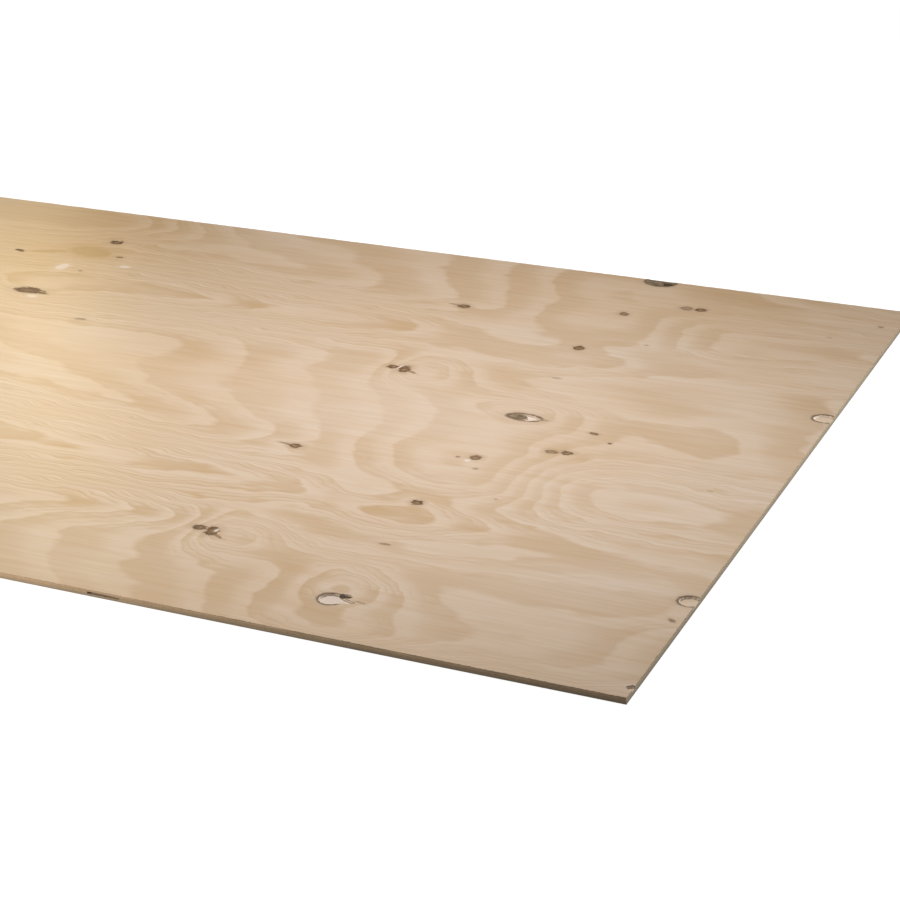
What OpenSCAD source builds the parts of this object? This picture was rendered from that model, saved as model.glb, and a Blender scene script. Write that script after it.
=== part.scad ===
// Plywood sheet: cross-laid softwood veneers glued into one rigid panel and sawn square.
// Lengths are in millimetres. The origin is under the middle of the sheet, on the plane it lies on.
// +X runs with the face grain, +Y across the sheet to its far long edge, +Z out of the face.

/* [Sheet] */
// Length of the sheet, along the face grain
sheet_length = 2440; // [1830:10:3660]
// Width of the sheet, across the face grain
sheet_width = 1220; // [1000:10:1830]

/* [Veneers] */
// Thickness of the face veneer, and of the back veneer
face_t = 2.9; // [1.5:0.1:4]
// Thickness of each core veneer
core_t = 2.9; // [1.5:0.1:4]
// Number of core veneers
core_plies = 1; // [1:2:7]

/* [Open knots: from the right end, from the named long edge, along the grain, across it] */
// Fallen knot by the near edge, measured from that edge
near_knot = [409, 85, 32, 25]; // [5:1:1000]
// Half fallen knot in the middle, measured from the near edge
middle_knot = [402, 656, 47, 27]; // [5:1:1000]
// Fallen knot that the saw cut through on the far edge, measured from that edge
far_knot = [396, 11, 50, 44]; // [5:1:1000]
// Fallen knot that the saw cut through on the right end, measured from the near edge
end_knot = [13, 234, 34, 27]; // [5:1:1000]
// The same branch one turn of the peeled log further on, measured from the near edge
second_end_knot = [13, 795, 34, 27]; // [5:1:1000]

/* [Torn grain] */
// How far the grain is torn out past the right side of a fallen knot
tear_length = 11; // [2:0.5:30]
// Width of that tear at its root in the knot
tear_width = 7; // [2:0.5:12]
// Splinter broken off the face at the right end: from the near edge, along the end, into the sheet
end_chip = [24, 14, 9]; // [5:1:300]

/* [Core] */
// Open joint in the core on the near edge: from the right end to its middle, along the edge, into the sheet
core_gap = [676, 46, 40]; // [5:1:1000]

/* [Hidden] */
$fn = 96;

sheet_t = 2 * face_t + core_plies * core_t;
right_end = sheet_length / 2;
near_edge = -sheet_width / 2;
far_edge = sheet_width / 2;

// Cuts run this far past the surface that they open
cut_over = 1;
// A tear starts this far inside the knot that it leaves
tear_root = 6;

// Radius of the two arcs that close a leaf shape of this length and width
function leaf_radius(along, across) = (along * along + across * across) / (4 * across);

// Leaf shape, drawn out to a point along the grain at both ends
module leaf(along, across) {
    radius = leaf_radius(along, across);
    intersection_for (side = [-1, 1])
        translate([0, side * (radius - across / 2)])
            circle(radius);
}

// Outline of a knot that fell out: the round knot, the grain that parts round it, and a tear to its right
module knot_outline(along, across) {
    circle(d = across);
    leaf(along, across);
    translate([along / 2 - tear_root, 0])
        leaf(2 * (tear_root + tear_length), tear_width);
}

// Pocket through the face veneer, down to the core
module open_knot(x, y, along, across) {
    translate([x, y, sheet_t - face_t])
        linear_extrude(face_t + cut_over)
            knot_outline(along, across);
}

// Bite out of the face veneer at the right end
module broken_splinter() {
    translate([right_end, near_edge + end_chip[0], sheet_t - face_t])
        linear_extrude(face_t + cut_over)
            leaf(2 * end_chip[2], end_chip[1]);
}

// Gap between two strips of the middle core veneer, open on the near edge
module open_core_joint() {
    translate([right_end - core_gap[0], near_edge + core_gap[2] / 2 - cut_over / 2, sheet_t / 2])
        cube([core_gap[1], core_gap[2] + cut_over, core_t], center = true);
}

module plywood_sheet() {
    color("burlywood")
        difference() {
            translate([0, 0, sheet_t / 2])
                cube([sheet_length, sheet_width, sheet_t], center = true);
            for (knot = [near_knot, middle_knot, end_knot, second_end_knot])
                open_knot(right_end - knot[0], near_edge + knot[1], knot[2], knot[3]);
            open_knot(right_end - far_knot[0], far_edge - far_knot[1], far_knot[2], far_knot[3]);
            broken_splinter();
            open_core_joint();
        }
}

plywood_sheet();
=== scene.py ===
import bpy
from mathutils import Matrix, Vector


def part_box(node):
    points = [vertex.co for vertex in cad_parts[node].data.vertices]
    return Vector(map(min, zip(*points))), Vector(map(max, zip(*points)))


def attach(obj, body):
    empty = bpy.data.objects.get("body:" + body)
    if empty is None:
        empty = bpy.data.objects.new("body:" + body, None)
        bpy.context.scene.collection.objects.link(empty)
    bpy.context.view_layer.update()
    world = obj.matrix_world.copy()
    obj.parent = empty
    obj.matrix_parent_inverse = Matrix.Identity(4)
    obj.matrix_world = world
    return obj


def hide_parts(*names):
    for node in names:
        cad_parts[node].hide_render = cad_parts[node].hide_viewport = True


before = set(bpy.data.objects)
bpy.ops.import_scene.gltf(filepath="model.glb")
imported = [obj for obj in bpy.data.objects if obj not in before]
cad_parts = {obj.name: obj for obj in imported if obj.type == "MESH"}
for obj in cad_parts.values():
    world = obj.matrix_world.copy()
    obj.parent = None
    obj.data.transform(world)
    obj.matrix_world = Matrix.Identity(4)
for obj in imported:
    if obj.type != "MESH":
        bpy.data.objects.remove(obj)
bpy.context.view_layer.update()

import math

import bpy
import numpy as np
from mathutils import Matrix, Vector

# Blank of the sheet: two softwood face veneers glued over one core veneer that is laid across them,
# pressed into a flat panel and sawn square on all four sides.
# A fine grid takes the face, and each extrude adds one veneer below it.
MM = 0.001
VENEERS = 3
GRID_ALONG = 12 * MM
GRID_ACROSS = 10 * MM

low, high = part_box("plywood_sheet")
length = high.x - low.x
width = high.y - low.y
thickness = high.z - low.z
half_long = length / 2 / MM
half_wide = width / 2 / MM
veneer_t = thickness / VENEERS
face_z = high.z
core_top = face_z - veneer_t
core_bottom = core_top - veneer_t


def start_piece():
    if bpy.context.object and bpy.context.object.mode != "OBJECT":
        bpy.ops.object.mode_set(mode="OBJECT")
    bpy.ops.object.select_all(action="DESELECT")


def place(piece, at, scale=(1, 1, 1)):
    piece.location = at
    piece.scale = scale
    bpy.ops.object.transform_apply(location=True, rotation=True, scale=True)


start_piece()
bpy.ops.mesh.primitive_grid_add(x_subdivisions=round(length / GRID_ALONG),
                                y_subdivisions=round(width / GRID_ACROSS), size=1)
sheet = bpy.context.object
sheet.name = "veneered_sheet"
place(sheet, (0, 0, face_z), (length, width, 1))
bpy.ops.object.mode_set(mode="EDIT")
bpy.ops.mesh.select_mode(type="EDGE")
bpy.ops.mesh.select_all(action="DESELECT")
bpy.ops.mesh.select_non_manifold()
for veneer in range(VENEERS):
    bpy.ops.mesh.extrude_region_move(TRANSFORM_OT_translate={"value": (0, 0, -veneer_t)})
bpy.ops.mesh.edge_face_add()
bpy.ops.mesh.select_all(action="SELECT")
bpy.ops.mesh.normals_make_consistent(inside=False)
bpy.ops.object.mode_set(mode="OBJECT")

# Knots in the face: the branches of the log, cut through once a turn as the veneer was peeled.
# Each is dark, hard branch wood set in the veneer, with the grain parting round it along the sheet.
# The face gets a finer mesh at the knots, on the figured part and along the two front arrises.

# Sound knots in millimetres: along, across, length, width, lean in degrees, darkness, depth of the pit
SOUND_KNOTS = [
    (812, 457, 17, 14, 0, 0.85, 0.8),
    (798, 306, 18, 17, 0, 1.0, 1.0),
    (810, 189, 14, 6, 0, 0.35, 0.2),
    (811, -99, 18, 15, 10, 0.9, 0.8),
    (787, -105, 7, 5, 0, 0.6, 0.2),
    (824, -131, 9, 6, 0, 0.45, 0.1),
    (795, -250, 17, 16, 0, 1.0, 1.0),
    (808, -372, 17, 5, 0, 0.6, 0.2),
    (566, 404, 24, 15, -8, 0.95, 0.8),
    (550, 406, 22, 5, -4, 0.6, 0.2),
    (568, 147, 22, 14, 0, 0.95, 0.6),
    (588, 144, 20, 26, 0, 1.0, 0.9),
    (602, 138, 22, 5, -22, 0.7, 0.4),
    (563, -150, 22, 14, -8, 0.95, 0.8),
    (547, -148, 24, 5, -4, 0.6, 0.2),
    (566, -414, 20, 14, 0, 0.95, 0.6),
    (586, -417, 20, 25, 0, 1.0, 0.9),
    (599, -427, 22, 5, -26, 0.7, 0.4),
    (895, 511, 22, 16, 0, 0.6, 0.3),
    (917, 512, 20, 15, 0, 0.95, 0.7),
    (899, -46, 20, 13, 0, 0.75, 0.3),
    (920, -42, 18, 14, 0, 0.95, 0.7),
    (931, 28, 15, 8, -10, 0.85, 0.4),
    (963, 6, 7, 6, 0, 0.9, 0.3),
    (888, 350, 7, 4, 0, 0.4, 0.1),
    (887, -206, 7, 4, 0, 0.4, 0.1),
    (1137, -86, 10, 4, 0, 0.3, 0.1),
    (1132, 470, 10, 4, 0, 0.3, 0.1),
    (1207, -427, 12, 7, -30, 0.7, 0.4),
    (848, -520, 18, 4, -10, 0.45, 0.1),
    (850, 46, 14, 5, 0, 0.35, 0.1),
    (1193, 537, 10, 6, 0, 0.6, 0.3),
    (-110, 473, 26, 18, 0, 0.95, 0.8),
    (-247, 385, 22, 9, -20, 0.75, 0.4),
    (-67, 412, 14, 8, 0, 0.7, 0.3),
    (-94, 334, 9, 5, 0, 0.5, 0.2),
    (-125, 230, 56, 24, 5, 0.78, 0.6),
    (-102, 227, 34, 9, -6, 0.75, 0.4),
    (24, 150, 22, 9, 0, 0.35, 0.1),
    (-640, 320, 26, 20, 0, 0.9, 0.6),
    (-660, -230, 26, 20, 0, 0.9, 0.6),
    (-640, -60, 30, 22, 10, 0.95, 0.7),
    (-620, 510, 30, 22, 10, 0.95, 0.7),
    (-900, 130, 18, 14, 0, 0.8, 0.5),
    (-905, -430, 18, 14, 0, 0.8, 0.5),
    (-112, -90, 30, 24, 0, 0.95, 0.8),
    (-128, -330, 44, 28, 0, 1.0, 0.9),
]
# Open knots in millimetres: along, across, length, width, length of the torn tip, seed of the ragged rim
OPEN_KNOTS = [
    (810, -524, 27, 24, 16, 3),
    (820, 46, 39, 18, 4, 5),
    (1210, 185, 28, 22, 4, 9),
    (1212, -376, 25, 21, 4, 11),
]
SUNKEN_KNOT = (819, 603, 44, 31, 3, 15)
KNOT_MARGIN = 10
ARRIS_MARGIN = 4
FIGURED_FROM = -270
FIGURE_CUTS = 1
KNOT_CUTS = 2
LEVEL_SLACK = 0.1


def take_sheet():
    start_piece()
    bpy.context.view_layer.objects.active = sheet
    sheet.select_set(True)


def knot_or_arris(x, y):
    if x > half_long - ARRIS_MARGIN or y < -half_wide + ARRIS_MARGIN:
        return x > FIGURED_FROM
    for knot in SOUND_KNOTS + OPEN_KNOTS + [SUNKEN_KNOT]:
        beside = abs(x - knot[0]) < knot[2] / 2 + KNOT_MARGIN
        if beside and abs(y - knot[1]) < knot[3] / 2 + KNOT_MARGIN:
            return True
    return False


def subdivide_face(in_part, cuts):
    take_sheet()
    bpy.ops.object.mode_set(mode="EDIT")
    bpy.ops.mesh.select_mode(type="FACE")
    bpy.ops.mesh.select_all(action="DESELECT")
    bpy.ops.object.mode_set(mode="OBJECT")
    for polygon in sheet.data.polygons:
        x, y, z = polygon.center / MM
        polygon.select = z > face_z / MM - LEVEL_SLACK and in_part(x, y)
    bpy.ops.object.mode_set(mode="EDIT")
    bpy.ops.mesh.subdivide(number_cuts=cuts)
    bpy.ops.object.mode_set(mode="OBJECT")


subdivide_face(lambda x, y: x > FIGURED_FROM, FIGURE_CUTS)
subdivide_face(knot_or_arris, KNOT_CUTS)

# Open knots: where the branch wood was loose it fell out, and left a hole one veneer deep with torn rims.
# The floor of each hole is the core veneer, whose grain runs across the sheet.
# Each is a ragged outline, drawn out to a torn tip on its right, and cut down to the core.

# Broken spots, the remains of a half fallen knot and the broken splinter are given as the open knots are
BROKEN_SPOTS = [
    (833, 597, 14, 14, 2, 7),
    (824, -512, 17, 9, 1, 23),
]
KNOT_REMAINS = (809, 46, 31, 20, 0, 21)
END_CHIP = (1220, -588, 14, 9, 0, 13)
RIM_POINTS = 44
RIM_RAGGED = 0.9 * MM
TIP_FROM = 0.7
TIP_SHARE = 0.3
TIP_NARROWER = 0.3
CUT_OVER = 2 * MM
SUNKEN = 0.5 * MM
BROKEN_DEEP = 2.0 * MM
REMAINS_FOOT = core_top - 0.3 * MM
# Walls from the foot up, each step as its rise and how far it widens
RIM_STEPS = [(0.25 * veneer_t, 0.2 * MM), (0.75 * veneer_t, 1.6 * MM), (CUT_OVER, 0)]
SUNKEN_STEPS = [(SUNKEN, 1.5 * MM), (CUT_OVER, 0)]
BROKEN_STEPS = [(BROKEN_DEEP, 0.5 * MM), (CUT_OVER, 0)]
REMAINS_STEPS = [(2.2 * MM, 0), (0.4 * MM, -1.5 * MM)]


def ragged_plug(x, y, along, across, tear, seed, foot, steps):
    start_piece()
    bpy.ops.mesh.primitive_circle_add(vertices=RIM_POINTS, radius=1, fill_type="NGON")
    plug = bpy.context.object
    place(plug, (0, 0, 0), (along / 2 * MM, across / 2 * MM, 1))
    for vertex in plug.data.vertices:
        tip = max(0.0, vertex.co.x / (along / 2 * MM) - TIP_FROM) / TIP_SHARE
        vertex.co.x += tear * MM * tip ** 2
        vertex.co.y *= 1 - TIP_NARROWER * tip
    middle = (x * MM, y * MM, foot)
    place(plug, middle)
    bpy.ops.object.mode_set(mode="EDIT")
    bpy.ops.mesh.select_all(action="SELECT")
    bpy.ops.transform.vertex_random(offset=RIM_RAGGED, seed=seed)
    bpy.ops.transform.resize(value=(1, 1, 0), center_override=middle)
    for rise, grow in steps:
        bpy.ops.mesh.extrude_region_move(TRANSFORM_OT_translate={"value": (0, 0, rise)})
        wider = (1 + 2 * grow / (along * MM), 1 + 2 * grow / (across * MM), 1)
        bpy.ops.transform.resize(value=wider, center_override=middle)
    bpy.ops.mesh.select_all(action="SELECT")
    bpy.ops.mesh.normals_make_consistent(inside=False)
    bpy.ops.object.mode_set(mode="OBJECT")
    return plug


def combine(tools, operation):
    start_piece()
    for tool in tools:
        tool.select_set(True)
    bpy.context.view_layer.objects.active = tools[0]
    bpy.ops.object.join()
    joined = bpy.context.object
    take_sheet()
    change = sheet.modifiers.new("change", "BOOLEAN")
    change.operation = operation
    change.solver = "MANIFOLD"
    change.object = joined
    bpy.ops.object.modifier_apply(modifier=change.name)
    bpy.data.objects.remove(joined)


cutters = [ragged_plug(*knot, core_top, RIM_STEPS) for knot in OPEN_KNOTS + [END_CHIP]]
cutters.append(ragged_plug(*SUNKEN_KNOT, face_z - SUNKEN, SUNKEN_STEPS))
broken_spots = [ragged_plug(*spot, face_z - BROKEN_DEEP, BROKEN_STEPS) for spot in BROKEN_SPOTS]
remains = ragged_plug(*KNOT_REMAINS, REMAINS_FOOT, REMAINS_STEPS)

# Open joint in the core: two strips of the core veneer don't meet, so a dark slot shows on the near edge.
# It is cut together with the open knots.
# The broken spots are cut after them, and the remains of a knot are set in last.
CORE_GAP = (544, 46, 40)
gap_mid, gap_long, gap_deep = (value * MM for value in CORE_GAP)
start_piece()
bpy.ops.mesh.primitive_cube_add(size=1)
slot_cutter = bpy.context.object
place(slot_cutter, (gap_mid, low.y + (gap_deep - CUT_OVER) / 2, (core_top + core_bottom) / 2),
      (gap_long, gap_deep + CUT_OVER, veneer_t))
combine(cutters + [slot_cutter], "DIFFERENCE")
combine(broken_spots, "DIFFERENCE")
combine([remains], "UNION")

# Figure of the face: the veneer was peeled round a log, so its rings surface as tongues, blocks and islands.
# Ring lines are given where a ring's dark late wood ends, as ring number and places in millimetres.
# They are laid on the log they were peeled from, and the ring number is worked out smoothly between them.
LOG_RADIUS = 86
RINGS_A_TURN = 0.45
GRAIN_SHARE = 0.45
TURN_APART = 110
RING_LINES = [
    (-1, [(110, 322), (160, 312), (190, 298), (160, 284), (110, 276)]),
    (0, [(150, -224), (195, -238), (222, -257), (195, -276), (160, -282)]),
    (1, [(170, -203), (300, -219), (400, -231), (446, -240), (472, -257), (450, -280), (412, -293),
         (300, -299), (200, -303)]),
    (2, [(200, -190), (300, -205), (400, -220), (500, -222), (560, -228), (610, -242), (645, -258),
         (657, -270), (640, -283), (580, -296), (510, -310), (450, -315), (350, -312), (220, -316)]),
    (3, [(200, -176), (300, -190), (400, -204), (500, -207), (600, -212), (650, -235), (690, -255),
         (725, -262)]),
    (3, [(700, -312), (650, -302), (600, -314), (560, -330), (510, -345), (440, -338), (350, -328),
         (240, -330)]),
    (4, [(240, -343), (350, -342), (450, -352), (520, -365)]),
    (5, [(250, -356), (350, -355), (450, -366)]),
    (6, [(260, -369), (350, -369), (450, -380)]),
    (4, [(200, -162), (300, -175), (400, -185), (500, -190)]),
    (5, [(200, -145), (300, -158), (360, -166)]),
    (2, [(720, -290), (750, -272), (790, -263), (830, -270), (850, -290), (830, -308), (790, -317),
         (745, -309)]),
    (1.6, [(790, -290)]),
    (2.35, [(688, -285)]),
    (3, [(850, -257), (890, -273), (917, -292), (890, -308), (850, -324), (800, -334), (740, -325),
         (690, -314)]),
    (4, [(900, -243), (950, -262), (1000, -272), (1060, -285), (1110, -300), (1060, -318), (980, -328),
         (900, -337), (850, -345), (800, -350)]),
    (2, [(698, 10), (705, -28)]),
    (3, [(612, 14), (624, -15), (640, -42)]),
    (4, [(440, 106), (462, 80), (478, 50), (503, 18), (530, -40), (558, -85)]),
    (5, [(333, 106), (345, 80), (350, 40), (352, 15), (370, -10), (398, -48)]),
    (6, [(198, 25), (215, 0), (250, -30), (320, -62)]),
    (6.25, [(20, 112), (100, 100), (60, 62), (140, 58), (180, 88), (-20, 75)]),
    (7, [(-41, 26), (63, -8), (108, -36), (180, -66), (252, -100)]),
    (1, [(735, 568), (742, 530)]),
    (2, [(652, 565), (665, 535), (682, 508)]),
    (3, [(563, 568), (572, 540), (590, 510)]),
    (4, [(453, 588), (465, 545), (490, 500), (520, 455), (545, 430)]),
    (5, [(272, 568), (300, 540), (325, 515), (380, 480)]),
    (5, [(405, -465), (412, -500), (418, -530), (428, -560), (445, -580), (475, -602)]),
    (4, [(505, -460), (515, -490), (528, -525), (533, -565), (560, -580), (575, -605)]),
    (3, [(655, -560), (662, -580), (670, -606)]),
    (2, [(725, -560), (738, -585), (760, -604)]),
    (0, [(250, 316), (330, 306), (372, 299), (330, 290), (250, 282)]),
    (1, [(250, 342), (380, 336), (480, 326), (530, 316), (553, 299), (535, 283), (500, 268), (430, 257),
         (330, 253)]),
    (2, [(600, 336), (650, 324), (700, 314), (760, 302)]),
    (2, [(850, 300), (880, 288), (894, 268), (870, 246), (820, 234), (760, 226), (700, 232), (640, 240),
         (580, 248)]),
    (1.85, [(690, 275)]),
    (1.2, [(800, 265)]),
    (3, [(900, 312), (950, 292), (980, 262), (950, 245), (900, 234)]),
    (3, [(955, 60), (1000, 83), (1050, 92), (1110, 92), (1130, 62), (1137, 30), (1120, 14), (1080, 5),
         (1045, 18), (1000, 40)]),
    (2.55, [(1050, 50), (1000, 62), (1100, 50)]),
    (3.35, [(1160, 60)]),
    (3.85, [(1207, 80)]),
    (2, [(745, 112), (800, 104), (850, 101), (890, 88), (912, 60)]),
    (1.2, [(775, 40), (800, -10), (850, 20), (860, 60), (770, 85), (790, -60), (790, -160), (830, -60)]),
    (2.3, [(880, -15)]),
    (2.75, [(985, 66)]),
    (2.15, [(915, 20), (915, 85)]),
    (3.3, [(945, 95), (985, 103), (1025, 112), (1075, 120)]),
    (3.12, [(985, 30), (1020, 8)]),
    (3.2, [(1000, 228), (1050, 250), (1110, 270), (1110, 225)]),
    (3.8, [(1180, 235)]),
    (4, [(1217, 255), (1217, 215)]),
    (6, [(40, 592), (90, 552), (150, 512), (230, 478)]),
    (7, [(-22, 594), (18, 558), (-5, 530), (-40, 508)]),
    (8, [(-75, 600), (-45, 565), (-58, 540), (-85, 520)]),
    (9, [(-115, 600), (-98, 570), (-105, 545)]),
    (9.65, [(-150, 560), (-200, 565), (-260, 560), (-290, 590), (-180, 530), (-270, 520)]),
    (1, [(765, -490), (800, -464), (848, -490)]),
    (1, [(762, -558), (775, -576), (810, -590), (850, -590)]),
    (1.5, [(770, -525), (850, -540)]),
    (2, [(900, -553), (922, -568), (930, -590)]),
    (2, [(690, -452), (722, -470), (760, -492)]),
    (1.4, [(850, 590), (790, 575), (870, 560)]),
    (1.15, [(800, 400), (790, 480), (840, 430)]),
    (3, [(900, -458), (1000, -450), (1140, -452)]),
    (3, [(1010, -565), (1014, -535)]),
    (4, [(1180, -460), (1178, -500), (1170, -540), (1160, -566), (1110, -578), (1060, -584), (1000, -592),
         (940, -604)]),
    (3.22, [(1075, -510), (1030, -490), (1120, -520), (1045, -550), (1120, -475)]),
    (2.8, [(972, -552)]),
    (2.75, [(900, -408), (1000, -402), (1100, -408), (1180, -418)]),
    (2, [(1010, 592), (1012, 570), (1000, 553)]),
    (1.85, [(965, 570)]),
    (2.3, [(1075, 585)]),
    (2.85, [(1190, 580)]),
    (7, [(1025, -182), (1010, -165), (1040, -137), (1100, -128), (1160, -138), (1185, -155), (1170, -178),
         (1120, -190), (1060, -192)]),
    (7.3, [(1095, -160)]),
    (3, [(893, -112), (888, -150), (897, -185)]),
    (4, [(914, -112), (910, -150), (918, -188)]),
    (5, [(934, -114), (930, -150), (940, -190)]),
    (6, [(956, -118), (951, -150), (962, -192)]),
    (7, [(1000, -160)]),
    (2, [(866, 440), (880, 400), (900, 345)]),
    (3, [(925, 430), (927, 402), (932, 360)]),
    (4, [(985, 430), (980, 402), (985, 360)]),
    (4.3, [(1080, 396), (1030, 396), (1130, 400)]),
    (5, [(1190, 430), (1200, 396)]),
    (3, [(990, 470), (1080, 474), (1215, 470)]),
    (2, [(990, 500), (1080, 506), (1215, 500)]),
    (1, [(990, 530), (1080, 534), (1215, 530)]),
    (3, [(985, 335), (1060, 325), (1215, 345)]),
    (2, [(960, 318), (1040, 303), (1120, 298), (1215, 322)]),
]
# Rings that swell round a branch: along, across, reach to the left, to the right and across, rise in rings
BRANCH_SWELLS = [
    (603, -410, 40, 80, 50, 3.2),
    (609, 150, 40, 80, 50, 3.0),
    (808, -500, 55, 50, 38, 1.3),
    (808, 62, 60, 45, 30, 1.1),
    (566, 404, 60, 30, 16, 0.7),
    (563, -150, 60, 30, 16, 0.7),
    (812, 457, 30, 30, 22, 0.1),
    (811, -99, 30, 30, 22, 0.15),
    (798, 306, 30, 30, 26, 0.4),
    (795, -250, 30, 30, 22, 0.4),
    (-121, 233, 90, 90, 45, 2.2),
    (-110, 473, 60, 60, 40, 1.2),
]
# Sways of the ring lines: length along, length across, sway in millimetres, start
RIPPLES = [
    (61, 47, 1.3, 0.4),
    (33, 83, 0.7, 2.1),
    (143, 71, 3.0, 4.0),
]
RIPPLE_TWIST = 2
LINE_SLACK = 2
BEND_SCALE = 1e4
PLANE_SCALE = 100
PLANE_TERMS = 5
BATCH = 20000


def turn_of_log(y):
    peeled = half_wide - y
    grown = np.sqrt(LOG_RADIUS ** 2 + veneer_t / MM * peeled / np.pi)
    return (grown - LOG_RADIUS) / (veneer_t / MM)


def on_log(x, y):
    turn = turn_of_log(y)
    angle = 2 * np.pi * turn
    round_log = [LOG_RADIUS * np.cos(angle), LOG_RADIUS * np.sin(angle)]
    return np.stack([GRAIN_SHARE * x, *round_log, TURN_APART * turn], -1)


# The bend at a place goes with the cube of its distance
def bend(places, centres):
    apart_squared = (places ** 2).sum(1)[:, None] + (centres ** 2).sum(1)[None] - 2 * places @ centres.T
    return np.maximum(apart_squared, 0) ** 1.5 / BEND_SCALE


def plane(places):
    return np.concatenate([np.ones((len(places), 1)), places / PLANE_SCALE], 1)


line_places = np.array([point for ring, line in RING_LINES for point in line], float)
line_rings = np.array([ring for ring, line in RING_LINES for point in line], float)
line_centres = on_log(line_places[:, 0], line_places[:, 1])
line_plane = plane(line_centres)
line_bend = bend(line_centres, line_centres) + LINE_SLACK * np.eye(len(line_centres))
system = np.block([[line_bend, line_plane], [line_plane.T, np.zeros((PLANE_TERMS, PLANE_TERMS))]])
wanted = np.concatenate([line_rings - RINGS_A_TURN * turn_of_log(line_places[:, 1]), np.zeros(PLANE_TERMS)])
weights = np.linalg.solve(system, wanted)


def ring_number(x, y):
    for along, across, sway_by, start in RIPPLES:
        waver = RIPPLE_TWIST * np.sin(2 * np.pi * y / across + start)
        y = y + sway_by * np.sin(2 * np.pi * x / along + waver)
    places = on_log(x, y)
    ring = np.empty(len(places))
    for first in range(0, len(places), BATCH):
        part = places[first:first + BATCH]
        bent = bend(part, line_centres) @ weights[:-PLANE_TERMS]
        ring[first:first + BATCH] = bent + plane(part) @ weights[-PLANE_TERMS:]
    ring += RINGS_A_TURN * turn_of_log(y)
    for mid_x, mid_y, reach_left, reach_right, reach_y, rise in BRANCH_SWELLS:
        reach_x = np.where(x < mid_x, reach_left, reach_right)
        ring -= rise * np.exp(-((x - mid_x) / reach_x) ** 2 - ((y - mid_y) / reach_y) ** 2)
    return ring


# Marks on the face: how bold the figure is, where shade is painted in a warmer, darker tint, the knots,
# their pits and rims, and spots of pale and of tan wood. All are kept on the mesh for the finish of the face.
# The knots are pressed in a little, and the top arrises are chipped at random.

# Bold and painted shade parts in millimetres: along, across, reach along, reach across, change of strength
BOLD_PARTS = [
    (1065, 50, 85, 55, 0.08),
    (450, -262, 90, 32, 0.5),
    (210, -255, 70, 22, 0.1),
    (500, 298, 80, 40, 0.25),
    (90, 305, 150, 35, 0.35),
    (790, -290, 80, 30, 0.3),
    (940, -290, 170, 45, 0.15),
    (805, -520, 120, 80, 0.15),
    (610, -415, 80, 60, -0.15),
    (615, 146, 80, 60, -0.15),
    (400, -265, 320, 90, 0.12),
    (430, 20, 150, 110, -0.42),
    (800, -60, 85, 120, -0.3),
    (630, -10, 110, 110, -0.33),
    (60, 540, 130, 90, -0.3),
    (430, -570, 110, 60, -0.35),
    (1050, -400, 170, 45, -0.25),
    (240, 530, 180, 90, -0.3),
    (150, 20, 190, 110, -0.5),
    (880, 150, 75, 40, -0.5),
    (935, 112, 45, 28, -0.35),
    (930, -150, 70, 60, -0.2),
    (1165, 230, 60, 45, 0.15),
    (960, 400, 110, 100, -0.15),
    (-60, 380, 270, 220, 0.35),
    (420, -380, 220, 130, 0.25),
    (80, -50, 330, 420, 0.32),
    (1060, -470, 190, 140, -0.14),
    (1040, 110, 190, 150, -0.12),
    (560, 10, 200, 150, -0.05),
]
EVEN_STRENGTH = 0.66
# Painted shade: a warmer, darker tint laid on broad parts of the face where the light falls off
PAINTED_SHADE_PARTS = [
    (900, 560, 700, 190, 0.45),
    (-230, 430, 270, 300, 1.0),
    (750, -600, 600, 140, 0.33),
    (230, -20, 260, 200, 0.3),
]
# Spots in millimetres: along, across, length, width, lean in degrees
PALE_SPOTS = [
    (804, -111, 10, 7, 0),
    (-134, 341, 20, 30, 0),
    (-34, 375, 22, 10, 0),
    (-106, 209, 20, 10, 0),
    (578, 148, 3, 17, -12),
    (590, -413, 5, 9, -10),
]
TAN_SPOTS = [
    (-128, 418, 84, 46, -8),
    (-195, 398, 70, 14, 18),
]
STEEP = 0.035
STEEP_STEP = 4.0
FAR_OFF = 9.0
RIM_DARK = 3.0
RIM_FADE = 2.5
RIM_REACH = 0.8
RIM_RUN = 0.26
PIT_SPREAD = 1.15
PIT_RAGGED = 0.35
ARRIS_CHIP = 1.0
CHIP_SEED = 8
TOP_SLACK = 0.05
EDGE_SLACK = 0.01

draw = np.random.default_rng(CHIP_SEED)
points = np.empty(len(sheet.data.vertices) * 3)
sheet.data.vertices.foreach_get("co", points)
points = points.reshape(-1, 3) / MM
on_face = points[:, 2] > core_top / MM + LEVEL_SLACK


def knot_reach(x, y, along, across, lean):
    turn = math.radians(lean)
    over, beside = points[:, 0] - x, points[:, 1] - y
    run = (over * math.cos(turn) + beside * math.sin(turn)) / (along / 2)
    rise = (beside * math.cos(turn) - over * math.sin(turn)) / (across / 2)
    return np.hypot(run, rise)


def nearest_spot(spots):
    return np.minimum.reduce([knot_reach(*spot) for spot in spots] + [np.full(len(points), FAR_OFF)])


def soft_parts(parts, even):
    strength = np.full(len(points), even)
    for mid_x, mid_y, reach_x, reach_y, change in parts:
        over, beside = (points[:, 0] - mid_x) / reach_x, (points[:, 1] - mid_y) / reach_y
        strength += change * np.exp(-over ** 2 - beside ** 2)
    return np.clip(strength, 0, 1)


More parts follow.
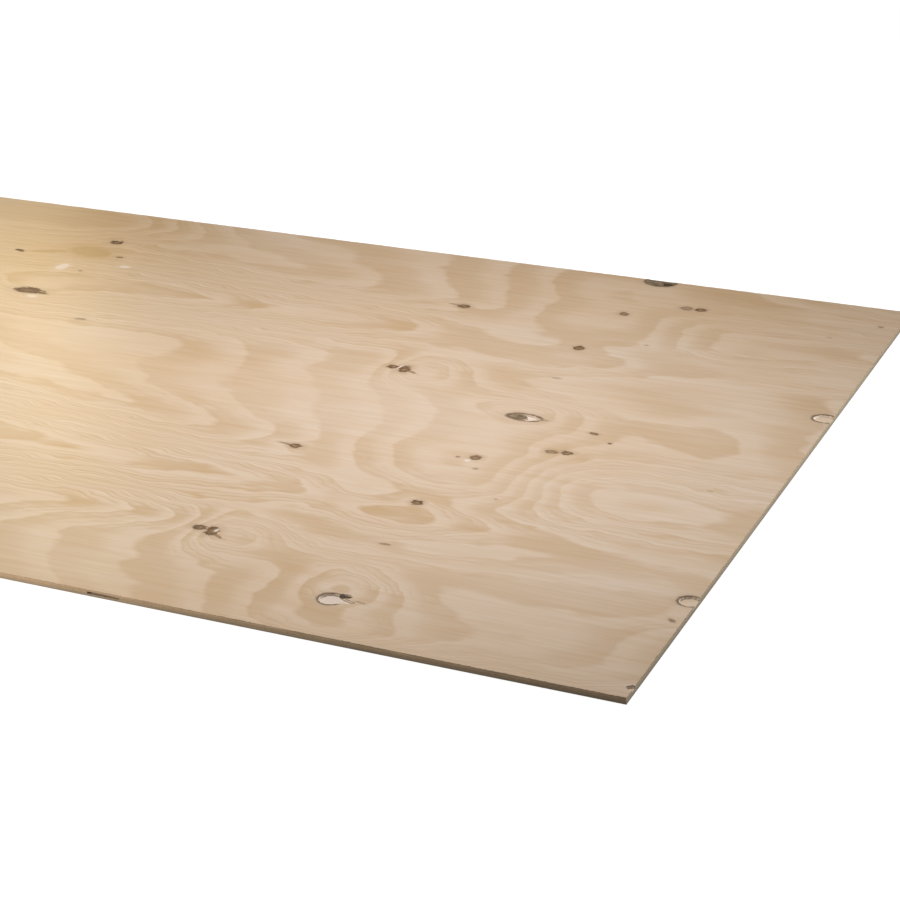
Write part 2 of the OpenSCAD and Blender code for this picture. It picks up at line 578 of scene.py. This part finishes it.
face_x, face_y = points[on_face, 0], points[on_face, 1]
rings = np.zeros(len(points))
steep = np.zeros(len(points))
rings[on_face] = ring_number(face_x, face_y)
across_rings = ring_number(face_x, face_y + STEEP_STEP)
steep[on_face] = np.minimum(np.abs(across_rings - rings[on_face]) / STEEP_STEP / STEEP, 1)
knot_dark = np.zeros(len(points))
knot_far = np.full(len(points), FAR_OFF)
pits = np.zeros(len(points))
for x, y, along, across, lean, darkness, pit in SOUND_KNOTS:
    here = knot_reach(x, y, along, across, lean)
    knot_dark[here < knot_far] = darkness
    knot_far = np.minimum(knot_far, here)
    pits = np.maximum(pits, pit * np.clip(PIT_SPREAD - here ** 2, 0, 1))
past_rim = np.minimum.reduce([(knot_reach(x, y, along, across, 0) - 1) * across / 2
                              for x, y, along, across, tear, seed in OPEN_KNOTS + [SUNKEN_KNOT]])
hole_far = RIM_REACH + RIM_RUN * (past_rim - RIM_DARK) / RIM_FADE
face_marks = {
    "ring": rings,
    "steep": steep,
    "bold": soft_parts(BOLD_PARTS, EVEN_STRENGTH),
    "painted_shade": soft_parts(PAINTED_SHADE_PARTS, 0.0),
    "knot_far": knot_far,
    "knot_dark": knot_dark,
    "pale_far": nearest_spot(PALE_SPOTS),
    "tan_far": nearest_spot(TAN_SPOTS),
    "hole_far": np.minimum(hole_far, FAR_OFF),
}
for name, values in face_marks.items():
    mark_data = sheet.data.attributes.new(name, "FLOAT", "POINT").data
    mark_data.foreach_set("value", values.astype(np.float32))
pits *= 1 - PIT_RAGGED * draw.random(len(points))
points[on_face, 2] -= pits[on_face]
chips = ARRIS_CHIP * draw.random(len(points)) ** 2
on_top = points[:, 2] > face_z / MM - TOP_SLACK
at_side = on_top & (np.abs(points[:, 1]) > half_wide - EDGE_SLACK)
at_end = on_top & (np.abs(points[:, 0]) > half_long - EDGE_SLACK)
points[at_side, 1] -= np.sign(points[at_side, 1]) * chips[at_side]
points[at_end, 0] -= np.sign(points[at_end, 0]) * chips[at_end]
sheet.data.vertices.foreach_set("co", (points * MM).ravel())
sheet.data.update()

# Face finish: bare softwood, unsanded and matt, pale in the early wood and tan in the late wood.
# The ring number gives the season of growth, and steep flanks are combed into finer lines.
# Knots, pale and tan spots and the rims of the holes are laid over it as marks with ragged edges.
WHITE = (1, 1, 1, 1)
NEW_WOOD = (0.793, 0.653, 0.53, 1)
LATE_WOOD = (0.635, 0.455, 0.275, 1)
# Tint of the painted shade, warmer and darker than the bare wood
PAINTED_SHADE_TINT = (0.98, 0.87, 0.68, 1)
GRAIN_TINT = (0.955, 0.915, 0.845, 1)
STREAK_TINT = (0.97, 0.945, 0.90, 1)
CLOUD_TINT = (0.985, 0.945, 0.88, 1)
KNOT_WOOD = (0.13, 0.075, 0.038, 1)
KNOT_HEART = (0.39, 0.24, 0.12, 1)
KNOT_STAIN = (0.52, 0.36, 0.215, 1)
PALE_SPOT = (0.92, 0.80, 0.73, 1)
TAN_SPOT = (0.55, 0.335, 0.12, 1)
HOLE_RIM_WOOD = (0.19, 0.12, 0.07, 1)
HOLE_STAIN = (0.60, 0.45, 0.31, 1)
HOLE_STRENGTH, HOLE_RAGGED = 0.9, 0.6
PALE_STRENGTH, PALE_RAGGED = 0.65, 1.0
TAN_STRENGTH, TAN_RAGGED = 0.75, 0.9
KNOT_RAGGED = 1.9
FACE_ROUGHNESS = 0.37
KNOT_ROUGHER = 0.45
FACE_RELIEF = 0.2 * MM
LATE_RELIEF = 0.5
BUMP_STRENGTH = 0.4
WOOD_SHINE = 0.3
# Noises: bumps a metre along, across and down the sheet, detail, roughness
FINGERS = ((6, 90, 1), 3, 0.6)
WANDER = ((7, 18, 1), 2, 0.5)
FLANK_RIPPLE = ((16, 24, 1), 1, 0.5)
FLAMES = ((9, 26, 1), 2, 0.5)
PATCHES = ((3.5, 8, 1), 2, 0.5)
GRAIN = ((7, 130, 1), 4, 0.62)
STREAKS = ((5, 75, 1), 3, 0.55)
FIBRES = ((9, 520, 1), 4, 0.6)
CLOUDS = ((2.5, 5, 1), 3, 0.5)
CHEWED = ((80, 180, 1), 5, 0.75)
SPECKS = ((130, 420, 1), 3, 0.6)
NOISE_MEAN = 0.5
# Sway of the ring lines by those noises, in rings
FINGER_SWAY = 0.12
WANDER_SWAY = 0.5
FLANK_SWAY = 0.5
FLAME_SWAY = 0.4
COMBED_LINES = 3.0
# Ramps: each stop as its place and its grey
LATE_IN_RING = [(0.0, 0.0), (0.24, 0.06), (0.52, 0.72), (0.7, 0.9), (0.9, 1.0), (1.0, 0.0)]
COMBED_LINE = [(0.0, 0.0), (0.5, 0.15), (0.88, 1.0), (1.0, 0.0)]
FLANK = [(0.3, 0.0), (0.85, 0.7)]
PATCH_STRENGTH = [(0.36, 0.75), (0.66, 1.0)]
GRAIN_LINES = [(0.32, 1.0), (0.62, 0.0)]
STREAK_LINES = [(0.4, 1.0), (0.54, 0.0)]
FIBRE_LIGHT = [(0.3, 0.955), (0.7, 1.0)]
CLOUD_SHADE = [(0.32, 1.0), (0.68, 0.0)]
# The ramps of a mark run over half its reach, and the halo's over a quarter of it
HEART_SCALE, HALO_SCALE = 0.5, 0.25
HEART_EDGE = [(0.40, 1.0), (0.53, 0.0)]
HALO_FADE = [(0.2, 0.6), (0.5, 0.0)]
RIM_BAND = [(0.15, 0.0), (0.38, 0.8)]
SPECK_BAND = [(0.42, 0.0), (0.6, 0.7)]


def nodes_of(tree):
    tree.nodes.clear()

    def add(kind, inputs=(), **settings):
        node = tree.nodes.new(kind)
        for name, value in settings.items():
            setattr(node, name, value)
        for socket, value in dict(inputs).items():
            if isinstance(value, bpy.types.NodeSocket):
                tree.links.new(value, node.inputs[socket])
            else:
                node.inputs[socket].default_value = value
        return node
    return add


def new_group(name, inputs, outputs):
    group = bpy.data.node_groups.new(name, "ShaderNodeTree")
    for in_out, sockets in (("INPUT", inputs), ("OUTPUT", outputs)):
        for socket, kind in sockets.items():
            group.interface.new_socket(socket, in_out=in_out, socket_type="NodeSocket" + kind)
    return group, nodes_of(group)


def new_material(name):
    material = bpy.data.materials.new(name)
    material.use_nodes = True
    return material, nodes_of(material.node_tree)


def object_place(add):
    return add("ShaderNodeTexCoord").outputs["Object"]


def maths(add, operation, *values):
    return add("ShaderNodeMath", dict(enumerate(values)), operation=operation).outputs[0]


def blend(add, factor, first, second, kind="MIX"):
    node = add("ShaderNodeMix", {0: factor, 6: first, 7: second}, data_type="RGBA", blend_type=kind)
    return node.outputs[2]


def tint(add, colour, factor, shade):
    return blend(add, 1.0, colour, blend(add, factor, WHITE, shade), "MULTIPLY")


def noise(add, spot, stretch, detail, rough):
    moved = add("ShaderNodeVectorMath", {0: spot, 1: stretch}, operation="MULTIPLY").outputs[0]
    return add("ShaderNodeTexNoise", {"Vector": moved, "Scale": 1.0, "Detail": detail,
                                      "Roughness": rough}).outputs[0]


def sway(add, value, amount):
    return maths(add, "MULTIPLY", maths(add, "SUBTRACT", value, NOISE_MEAN), amount)


def ramp(add, value, stops):
    node = add("ShaderNodeValToRGB", {0: value})
    steps = node.color_ramp.elements
    while len(steps) < len(stops):
        steps.new(0.5)
    for step, (at, grey) in zip(steps, stops):
        step.position = at
        step.color = (grey, grey, grey, 1)
    return node.outputs[0]


def finish_surface(add, colour, height, relief, roughness):
    bump = add("ShaderNodeBump", {"Height": height, "Strength": BUMP_STRENGTH, "Distance": relief})
    shader = add("ShaderNodeBsdfPrincipled", {"Base Color": colour, "Roughness": roughness,
                                              "Normal": bump.outputs[0], "Specular IOR Level": WOOD_SHINE})
    add("ShaderNodeOutputMaterial", {"Surface": shader.outputs[0]})


figure, add = new_group("peeled_figure", {"Ring": "Float", "Steep": "Float", "Bold": "Float"},
                        {"Color": "Color", "Height": "Float"})
given = add("NodeGroupInput").outputs
spot = object_place(add)
calm = maths(add, "SUBTRACT", 1.0, given["Steep"])
fingers = sway(add, noise(add, spot, *FINGERS), FINGER_SWAY)
wander = sway(add, noise(add, spot, *WANDER), WANDER_SWAY)
ripple = maths(add, "MULTIPLY", sway(add, noise(add, spot, *FLANK_RIPPLE), FLANK_SWAY), given["Steep"])
flames = maths(add, "MULTIPLY", sway(add, noise(add, spot, *FLAMES), FLAME_SWAY), calm)
moved = maths(add, "ADD", maths(add, "ADD", wander, ripple), flames)
ring = maths(add, "ADD", maths(add, "ADD", given["Ring"], fingers), moved)
late = ramp(add, maths(add, "FRACT", ring), LATE_IN_RING)
combed = ramp(add, maths(add, "FRACT", maths(add, "MULTIPLY", ring, COMBED_LINES)), COMBED_LINE)
late = blend(add, ramp(add, given["Steep"], FLANK), late, combed)
strength = ramp(add, noise(add, spot, *PATCHES), PATCH_STRENGTH)
late = maths(add, "MULTIPLY", maths(add, "MULTIPLY", late, strength), given["Bold"])
colour = blend(add, late, NEW_WOOD, LATE_WOOD)
colour = tint(add, colour, ramp(add, noise(add, spot, *GRAIN), GRAIN_LINES), GRAIN_TINT)
streaked = maths(add, "MULTIPLY", ramp(add, noise(add, spot, *STREAKS), STREAK_LINES), calm)
colour = tint(add, colour, streaked, STREAK_TINT)
fibre = noise(add, spot, *FIBRES)
colour = blend(add, 1.0, colour, ramp(add, fibre, FIBRE_LIGHT), "MULTIPLY")
colour = tint(add, colour, ramp(add, noise(add, spot, *CLOUDS), CLOUD_SHADE), CLOUD_TINT)
height = maths(add, "ADD", maths(add, "MULTIPLY", late, LATE_RELIEF), fibre)
add("NodeGroupOutput", {"Color": colour, "Height": height})

knot_mark, add = new_group("knot_mark", {"Color": "Color", "Heart": "Color", "Rim": "Color",
                                         "Stain": "Color", "Reach": "Float", "Darkness": "Float",
                                         "Ragged": "Float"}, {"Color": "Color", "Mask": "Float"})
given = add("NodeGroupInput").outputs
spot = object_place(add)
reach = maths(add, "ADD", given["Reach"], sway(add, noise(add, spot, *CHEWED), given["Ragged"]))
half_reach = maths(add, "MULTIPLY", reach, HEART_SCALE)
quarter_reach = maths(add, "MULTIPLY", reach, HALO_SCALE)
heart = maths(add, "MULTIPLY", ramp(add, half_reach, HEART_EDGE), given["Darkness"])
halo = maths(add, "MULTIPLY", ramp(add, quarter_reach, HALO_FADE), given["Darkness"])
specks = ramp(add, noise(add, spot, *SPECKS), SPECK_BAND)
rim = maths(add, "ADD", ramp(add, half_reach, RIM_BAND), specks)
colour = blend(add, halo, given["Color"], given["Stain"])
colour = blend(add, heart, colour, blend(add, rim, given["Heart"], given["Rim"]))
add("NodeGroupOutput", {"Color": colour, "Mask": heart})


def mark(add, colour, reach, darkness, ragged, heart, rim, stain):
    node = add("ShaderNodeGroup", {"Color": colour, "Heart": heart, "Rim": rim, "Stain": stain,
                                   "Reach": reach, "Darkness": darkness, "Ragged": ragged},
               node_tree=knot_mark)
    return node.outputs


face_veneer, add = new_material("face_veneer")
kept = {name: add("ShaderNodeAttribute", attribute_name=name).outputs["Fac"] for name in face_marks}
wood = add("ShaderNodeGroup", {"Ring": kept["ring"], "Steep": kept["steep"], "Bold": kept["bold"]},
           node_tree=figure).outputs
# Painted shade: broad parts of the face are tinted warmer and darker where the light falls off.
colour = tint(add, wood["Color"], kept["painted_shade"], PAINTED_SHADE_TINT)
colour = mark(add, colour, kept["tan_far"], TAN_STRENGTH, TAN_RAGGED, TAN_SPOT, TAN_SPOT, TAN_SPOT)["Color"]
colour = mark(add, colour, kept["hole_far"], HOLE_STRENGTH, HOLE_RAGGED, HOLE_RIM_WOOD, HOLE_RIM_WOOD,
              HOLE_STAIN)["Color"]
knots = mark(add, colour, kept["knot_far"], kept["knot_dark"], KNOT_RAGGED, KNOT_HEART, KNOT_WOOD, KNOT_STAIN)
colour = mark(add, knots["Color"], kept["pale_far"], PALE_STRENGTH, PALE_RAGGED, PALE_SPOT, PALE_SPOT,
              NEW_WOOD)["Color"]
roughness = maths(add, "ADD", maths(add, "MULTIPLY", knots["Mask"], KNOT_ROUGHER), FACE_ROUGHNESS)
finish_surface(add, colour, wood["Height"], FACE_RELIEF, roughness)

# Back of the sheet: the other face veneer, peeled from the same kind of log and left as it is.
# It has the figure of the face, with rings that wander at random, and no open knots.
BACK_FIGURE = ((1.1, 3.2, 1), 1, 0.5)
BACK_RINGS = 14
BACK_RELIEF = 0.25 * MM
BACK_ROUGHNESS = 0.65
back_veneer, add = new_material("back_veneer")
ring = maths(add, "MULTIPLY", noise(add, object_place(add), *BACK_FIGURE), BACK_RINGS)
wood = add("ShaderNodeGroup", {"Ring": ring, "Bold": EVEN_STRENGTH}, node_tree=figure).outputs
finish_surface(add, wood["Color"], wood["Height"], BACK_RELIEF, BACK_ROUGHNESS)

# Sawn edges: the cut sides of the three veneers, long grain and end grain in turn.
# They are browner than the face, rough from the saw, and darker and greyer towards the foot.
EDGE_LIGHT = (0.56, 0.42, 0.28, 1)
EDGE_DARK = (0.27, 0.19, 0.12, 1)
EDGE_FOOT = (0.20, 0.17, 0.135, 1)
LONG_GRAIN = ((25, 25, 900), 4, 0.6)
END_GRAIN = ((500, 500, 500), 4, 0.6)
GRAIN_CONTRAST = [(0.3, 0.0), (0.7, 1.0)]
CORE_DARKER = 0.2
DARKER_TO_FOOT = [(0.05, 0.75), (0.65, 0.0)]
SAWN_RELIEF = 0.4 * MM
SAWN_ROUGHNESS = 0.8


def height_of(add, spot):
    return add("ShaderNodeSeparateXYZ", {0: spot}).outputs["Z"]


def sawn(name, face_grain, core_grain):
    material, add = new_material(name)
    spot = object_place(add)
    level = height_of(add, spot)
    above = maths(add, "GREATER_THAN", level, core_bottom)
    below = maths(add, "LESS_THAN", level, core_top)
    core = maths(add, "MULTIPLY", above, below)
    face_part = maths(add, "MULTIPLY", noise(add, spot, *face_grain), maths(add, "SUBTRACT", 1.0, core))
    core_part = maths(add, "MULTIPLY", noise(add, spot, *core_grain), core)
    grain = maths(add, "ADD", face_part, core_part)
    colour = blend(add, ramp(add, grain, GRAIN_CONTRAST), EDGE_DARK, EDGE_LIGHT)
    colour = blend(add, maths(add, "MULTIPLY", core, CORE_DARKER), colour, EDGE_DARK)
    # The edges turn darker and greyer towards the foot of the sheet.
    foot_darkening = ramp(add, maths(add, "DIVIDE", level, thickness), DARKER_TO_FOOT)
    colour = blend(add, foot_darkening, colour, EDGE_FOOT)
    finish_surface(add, colour, grain, SAWN_RELIEF, SAWN_ROUGHNESS)
    return material


sawn_side = sawn("sawn_long_edge", LONG_GRAIN, END_GRAIN)
sawn_end = sawn("sawn_end", END_GRAIN, LONG_GRAIN)

# Insides of the open knots: a floor of pale core veneer, whose grain runs across the sheet,
# torn rims that are dark at the top and fresh wood below, and the broken remains of two knots.
# The floors at the right end are a little darker than the others.
HOLE_FLOOR_DARK = (0.77, 0.63, 0.52, 1)
HOLE_FLOOR_LIGHT = (0.91, 0.79, 0.69, 1)
END_HOLE_FLOOR = (0.75, 0.59, 0.44, 1)
END_HOLES_FROM = 1.15
HOLE_FLOOR_GRAIN = ((600, 25, 1), 4, 0.6)
HOLE_FLOOR_RELIEF = 0.4 * MM
HOLE_FLOOR_ROUGHNESS = 0.75
RIM_BROWN_DARK = (0.17, 0.105, 0.06, 1)
RIM_BROWN_LIGHT = (0.38, 0.26, 0.16, 1)
RIM_FRESH = (0.76, 0.64, 0.52, 1)
RIM_GRAIN = ((300, 300, 300), 4, 0.6)
RIM_WAVER = 0.5
RIM_FRESH_BELOW = [(0.08, 0.0), (0.3, 1.0)]
RIM_RELIEF = 0.4 * MM
RIM_ROUGHNESS = 0.8
REMAINS_DARK = (0.13, 0.09, 0.05, 1)
REMAINS_LIGHT = (0.33, 0.25, 0.16, 1)
REMAINS_DEEP = (0.095, 0.062, 0.038, 1)
REMAINS_GRAIN = ((90, 160, 90), 4, 0.65)
REMAINS_CONTRAST = [(0.34, 0.0), (0.66, 1.0)]
REMAINS_DEEP_BELOW = [(0.35, 0.0), (0.6, 1.0)]
REMAINS_RELIEF = 0.5 * MM
REMAINS_ROUGHNESS = 0.8


def depth_in_veneer(add, spot):
    return maths(add, "DIVIDE", maths(add, "SUBTRACT", face_z, height_of(add, spot)), veneer_t)


core_floor, add = new_material("core_veneer")
spot = object_place(add)
grain = noise(add, spot, *HOLE_FLOOR_GRAIN)
colour = blend(add, ramp(add, grain, GRAIN_CONTRAST), HOLE_FLOOR_DARK, HOLE_FLOOR_LIGHT)
place_along = add("ShaderNodeSeparateXYZ", {0: spot}).outputs["X"]
colour = blend(add, maths(add, "GREATER_THAN", place_along, END_HOLES_FROM), colour, END_HOLE_FLOOR)
finish_surface(add, colour, grain, HOLE_FLOOR_RELIEF, HOLE_FLOOR_ROUGHNESS)

knot_rim, add = new_material("torn_knot_rim")
spot = object_place(add)
grain = noise(add, spot, *RIM_GRAIN)
depth = maths(add, "ADD", depth_in_veneer(add, spot), sway(add, grain, RIM_WAVER))
brown = blend(add, ramp(add, grain, GRAIN_CONTRAST), RIM_BROWN_DARK, RIM_BROWN_LIGHT)
colour = blend(add, ramp(add, depth, RIM_FRESH_BELOW), brown, RIM_FRESH)
finish_surface(add, colour, grain, RIM_RELIEF, RIM_ROUGHNESS)

knot_remains, add = new_material("broken_knot")
spot = object_place(add)
grain = noise(add, spot, *REMAINS_GRAIN)
colour = blend(add, ramp(add, grain, REMAINS_CONTRAST), REMAINS_DARK, REMAINS_LIGHT)
colour = blend(add, ramp(add, depth_in_veneer(add, spot), REMAINS_DEEP_BELOW), colour, REMAINS_DEEP)
finish_surface(add, colour, grain, REMAINS_RELIEF, REMAINS_ROUGHNESS)

# Finishes laid on the sheet: each polygon takes its finish by where it lies and which way it faces.
# Arrises stay sharp, and the pits of the knots are smoothed into the face.
FINISHES = (face_veneer, back_veneer, sawn_side, sawn_end, core_floor, knot_rim, knot_remains)
FACE, BACK, SIDE, END, HOLE_FLOOR, RIM, REMAINS = range(len(FINISHES))
CLOSE = 0.05 * MM
DEEPEST_PIT = 1.2 * MM
HOLE_MARGIN = 4
FACE_TILT = 0.3
UPRIGHT = 0.5
LEVEL = 0.9
SMOOTH_UNDER = math.radians(30)


def in_hole(x, y, knots):
    for knot in knots:
        over = abs(x / MM - knot[0]) < knot[2] / 2 + knot[4] + HOLE_MARGIN
        if over and abs(y / MM - knot[1]) < knot[3] / 2 + HOLE_MARGIN:
            return True
    return False


def finish_of(polygon):
    x, y, z = polygon.center
    normal = polygon.normal
    in_pit = z > face_z - DEEPEST_PIT and normal.z > FACE_TILT
    if z > face_z - CLOSE or (in_pit and not in_hole(x, y, OPEN_KNOTS + [END_CHIP, SUNKEN_KNOT])):
        return FACE
    if z < CLOSE:
        return BACK
    if abs(y) > width / 2 - ARRIS_CHIP * MM and abs(normal.y) > UPRIGHT:
        return SIDE
    if abs(x) > length / 2 - ARRIS_CHIP * MM and abs(normal.x) > UPRIGHT:
        return END
    if in_hole(x, y, [SUNKEN_KNOT]):
        return REMAINS
    if normal.z > LEVEL and abs(z - core_top) < CLOSE:
        return HOLE_FLOOR
    if normal.z > LEVEL and core_top < z:
        return REMAINS
    return RIM


sheet.data.materials.clear()
for finish in FINISHES:
    sheet.data.materials.append(finish)
for polygon in sheet.data.polygons:
    polygon.material_index = finish_of(polygon)
take_sheet()
bpy.ops.object.shade_smooth_by_angle(angle=SMOOTH_UNDER)

# Flat layout of the sheet for baking: the face above, the back below it,
# and the four sawn edges in strips between them.
FACE_STRIP = (0.54, 0.99)
BACK_STRIP = (0.01, 0.46)
SIDE_STRIP = (0.505, 0.530)
END_STRIP = (0.470, 0.495)
LAYOUT_MARGIN = 0.005
layout = sheet.data.uv_layers.new(name="OFBake")
polygon_finish = np.empty(len(sheet.data.polygons), np.int32)
sheet.data.polygons.foreach_get("material_index", polygon_finish)
corner_counts = np.empty(len(sheet.data.polygons), np.int32)
sheet.data.polygons.foreach_get("loop_total", corner_counts)
corners = np.empty(len(sheet.data.loops), np.int32)
sheet.data.loops.foreach_get("vertex_index", corners)
corner_finish = np.repeat(polygon_finish, corner_counts)
corner_places = points[corners] * MM
share_along = corner_places[:, 0] / length + 0.5
share_across = corner_places[:, 1] / width + 0.5
half_share_up = corner_places[:, 2] / thickness / 2
strip_of = [corner_finish == SIDE, corner_finish == END, corner_finish == BACK]
side_up = half_share_up + 0.5 * (share_across > 0.5)
end_up = half_share_up + 0.5 * (share_along > 0.5)
u = np.where(corner_finish == END, share_across, share_along)
v = np.select(strip_of, [side_up, end_up, share_across], share_across)
strip_foot = np.select(strip_of, [SIDE_STRIP[0], END_STRIP[0], BACK_STRIP[0]], FACE_STRIP[0])
strip_head = np.select(strip_of, [SIDE_STRIP[1], END_STRIP[1], BACK_STRIP[1]], FACE_STRIP[1])
laid_u = LAYOUT_MARGIN + (1 - 2 * LAYOUT_MARGIN) * u
laid_v = strip_foot + (strip_head - strip_foot) * v
layout.data.foreach_set("uv", np.stack([laid_u, laid_v], -1).ravel().astype(np.float32))

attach(sheet, "root")
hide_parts("plywood_sheet")

# Floor: a wide white studio floor, just under the sheet that lies on it.
# To the camera it glows almost white, and its matt grey keeps the shadow of the sheet.
FLOOR_SIZE = 60
FLOOR_GAP = 0.5 * MM
FLOOR_GLOW = 0.95
FLOOR_GREY = (0.3, 0.3, 0.3, 1)
start_piece()
bpy.ops.mesh.primitive_plane_add(size=FLOOR_SIZE, location=(0, 0, -FLOOR_GAP))
floor = bpy.context.object
floor.name = "floor"
white, add = new_material("white_floor")
eye = add("ShaderNodeLightPath").outputs
mirrored = maths(add, "MAXIMUM", eye["Is Camera Ray"], eye["Is Glossy Ray"])
seen = maths(add, "MAXIMUM", mirrored, eye["Is Transmission Ray"])
glow = add("ShaderNodeEmission", {"Color": WHITE, "Strength": maths(add, "MULTIPLY", seen, FLOOR_GLOW)})
matt = add("ShaderNodeBsdfDiffuse", {"Color": FLOOR_GREY})
both = add("ShaderNodeAddShader", {0: glow.outputs[0], 1: matt.outputs[0]})
add("ShaderNodeOutputMaterial", {"Surface": both.outputs[0]})
floor.data.materials.append(white)

# Light: a white studio with soft lamps overhead and a warm window that glances off the left of the sheet.
# Two low lamps light the near edge and the right end.
# The sky is white to the camera, and only fills the shadows otherwise.
SKY_SEEN = 1.0
SKY_FILL = 0.18
LAMP_WHITE = (1.0, 0.97, 0.95)
LAMP_ROSE = (1.0, 0.97, 0.97)
LAMP_WARM = (1.0, 0.80, 0.46)
LAMP_CREAM = (1.0, 0.9, 0.76)
LAMP_COOL = (0.9, 0.97, 1.0)

world = bpy.data.worlds.new("studio")
bpy.context.scene.world = world
world.use_nodes = True
add = nodes_of(world.node_tree)
eye = add("ShaderNodeLightPath").outputs
seen = maths(add, "MULTIPLY", eye["Is Camera Ray"], SKY_SEEN - SKY_FILL)
sky = add("ShaderNodeBackground", {"Color": WHITE, "Strength": maths(add, "ADD", seen, SKY_FILL)})
add("ShaderNodeOutputWorld", {"Surface": sky.outputs[0]})


def lamp(name, at, aim, size, watts, colour, spread=180):
    data = bpy.data.lights.new(name, "AREA")
    data.shape = "DISK"
    data.size = size
    data.energy = watts
    data.color = colour
    data.spread = math.radians(spread)
    light = bpy.data.objects.new(name, data)
    bpy.context.scene.collection.objects.link(light)
    light.location = at
    light.visible_camera = False
    light.rotation_euler = (Vector(aim) - Vector(at)).to_track_quat("-Z", "Y").to_euler()


lamp("overhead", at=(0.4, 0.08, 1.2), aim=(0.4, 0.08, 0), size=0.6, watts=10.2, colour=LAMP_WHITE)
lamp("overhead_right", at=(1.0, -0.12, 0.8), aim=(1.0, -0.12, 0), size=0.5, watts=2.0, colour=LAMP_ROSE)
lamp("overhead_left", at=(-1.1, 0, 1.3), aim=(-1.1, 0, 0), size=0.6, watts=0.75, colour=LAMP_WHITE, spread=60)
lamp("warm_window", at=(-1.345, 1.795, 0.948), aim=(0.04, -0.06, 0), size=0.5, watts=6.6, colour=LAMP_WARM)
lamp("low_front", at=(-0.15, -1.15, 0.06), aim=(0.6, -0.61, 0), size=0.1, watts=2.7, colour=LAMP_CREAM,
     spread=100)
lamp("low_right", at=(2.4, 0.3, 0.12), aim=(1.22, 0.15, 0), size=0.3, watts=14, colour=LAMP_COOL)

# Camera: where the photograph was taken from, fitted to the edges of the sheet.
# It looks down on the near right corner, with a long lens and a slight roll.
FOCAL_PIXELS = 2364.14
FRAME_PIXELS = 900
SENSOR = 36.0
CAMERA_AT = (2.01812, -2.71056, 1.35386)
CAMERA_PITCH = math.radians(24.8518)
CAMERA_YAW = math.radians(-25.4943)
CAMERA_ROLL = math.radians(-2.1)
level_ahead = Vector((math.sin(CAMERA_YAW), math.cos(CAMERA_YAW), 0))
forward = level_ahead * math.cos(CAMERA_PITCH) - Vector((0, 0, math.sin(CAMERA_PITCH)))
right = Vector((math.cos(CAMERA_YAW), -math.sin(CAMERA_YAW), 0))
up = right.cross(forward)
tilted_right = right * math.cos(CAMERA_ROLL) + up * math.sin(CAMERA_ROLL)
tilted_up = up * math.cos(CAMERA_ROLL) - right * math.sin(CAMERA_ROLL)
lens = bpy.data.cameras.new("camera")
lens.sensor_width = SENSOR
lens.lens = FOCAL_PIXELS / FRAME_PIXELS * SENSOR
camera = bpy.data.objects.new("camera", lens)
bpy.context.scene.collection.objects.link(camera)
camera.matrix_world = Matrix((
    (tilted_right.x, tilted_up.x, -forward.x, CAMERA_AT[0]),
    (tilted_right.y, tilted_up.y, -forward.y, CAMERA_AT[1]),
    (tilted_right.z, tilted_up.z, -forward.z, CAMERA_AT[2]),
    (0, 0, 0, 1)))
bpy.context.scene.camera = camera
bpy.context.scene.view_settings.view_transform = "Standard"
